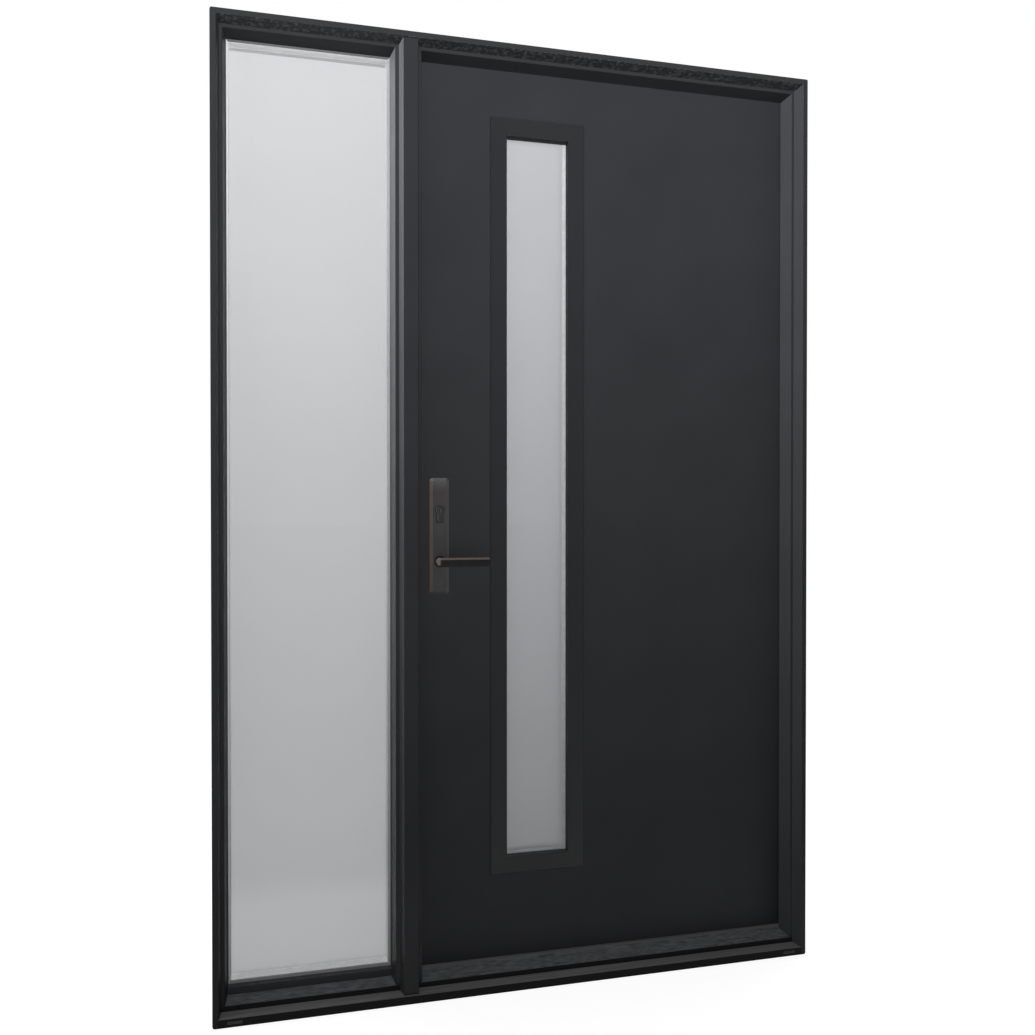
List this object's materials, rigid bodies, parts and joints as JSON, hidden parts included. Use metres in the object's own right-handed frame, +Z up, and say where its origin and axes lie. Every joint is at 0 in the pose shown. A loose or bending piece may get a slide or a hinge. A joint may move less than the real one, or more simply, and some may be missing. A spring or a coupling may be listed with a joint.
{
  "type": "entrance door with a sidelight",
  "caption": "Dark inswing entrance door with a slim vertical lite and a lever handle, in a stepped frame with a fixed glazed sidelight beside it and a ribbed sill below.",
  "frame": {"origin": "middle of the underside of the sill, half-way through the frame's depth", "axes": "+X to the right seen from outside, +Y from outside to inside, +Z up"},
  "size_m": [1.368, 0.182, 2.096],
  "materials": {
    "frame_paint": "satin",
    "sill_black": "satin",
    "weep_grey": "matte",
    "seal_rubber": "matte",
    "gasket_grey": "satin",
    "clear_glass": "polished",
    "satin_glass": "satin",
    "spacer_silver": "satin",
    "door_paint": "satin",
    "door_edge": "satin",
    "door_foam": "matte",
    "lite_frame_paint": "matte",
    "dark_bronze": "satin",
    "lock_steel": "satin"
  },
  "bodies": {
    "frame": {"left_jamb": "frame_paint", "right_jamb": "frame_paint", "header": "frame_paint", "mullion": "frame_paint", "sill_base": "sill_black", "sill_tread": "sill_black", "sill_cap": "sill_black", "sill_weep_covers": "weep_grey", "strike_plate": "lock_steel", "head_seal": "seal_rubber", "lock_side_seal": "seal_rubber", "hinge_side_seal": "seal_rubber", "sidelight_rail": "frame_paint", "sidelight_outer_pane": "clear_glass", "sidelight_inner_pane": "satin_glass", "sidelight_spacer": "spacer_silver", "sidelight_gasket": "gasket_grey", "sidelight_bead_bottom": "frame_paint", "sidelight_bead_top": "frame_paint", "sidelight_bead_left": "frame_paint", "sidelight_bead_right": "frame_paint", "hinge_jamb_leaves": "lock_steel", "hinge_pins": "lock_steel"},
    "door": {"door_outer_skin": "door_paint", "door_inner_skin": "door_paint", "door_lock_stile": "door_edge", "door_hinge_stile": "door_edge", "door_top_rail": "door_edge", "door_bottom_rail": "door_edge", "door_core": "door_foam", "door_sweep": "seal_rubber", "lite_outer_frame": "lite_frame_paint", "lite_inner_frame": "lite_frame_paint", "lite_outer_pane": "clear_glass", "lite_inner_pane": "satin_glass", "lite_spacer": "spacer_silver", "outer_handle_plate": "dark_bronze", "inner_handle_plate": "dark_bronze", "lock_cylinder": "dark_bronze", "lock_face_plate": "lock_steel", "hinge_door_leaves": "lock_steel"},
    "lever": {"outer_lever": "dark_bronze", "inner_lever": "dark_bronze", "lever_spindle": "lock_steel"}
  },
  "joints": [
    {"name": "door_swing", "type": "hinge", "parent": "frame", "child": "door", "pos_m": [0.6665, 0.0705, 1.06], "axis": [0, 0, -1], "range_deg": [0, 105]},
    {"name": "lever_turn", "type": "hinge", "parent": "door", "child": "lever", "pos_m": [-0.1943, 0.0415, 0.9525], "axis": [0, 1, 0], "range_deg": [0, 45], "stiffness_Nm_per_rad": 3, "springref_deg": -17.19}
  ]
}
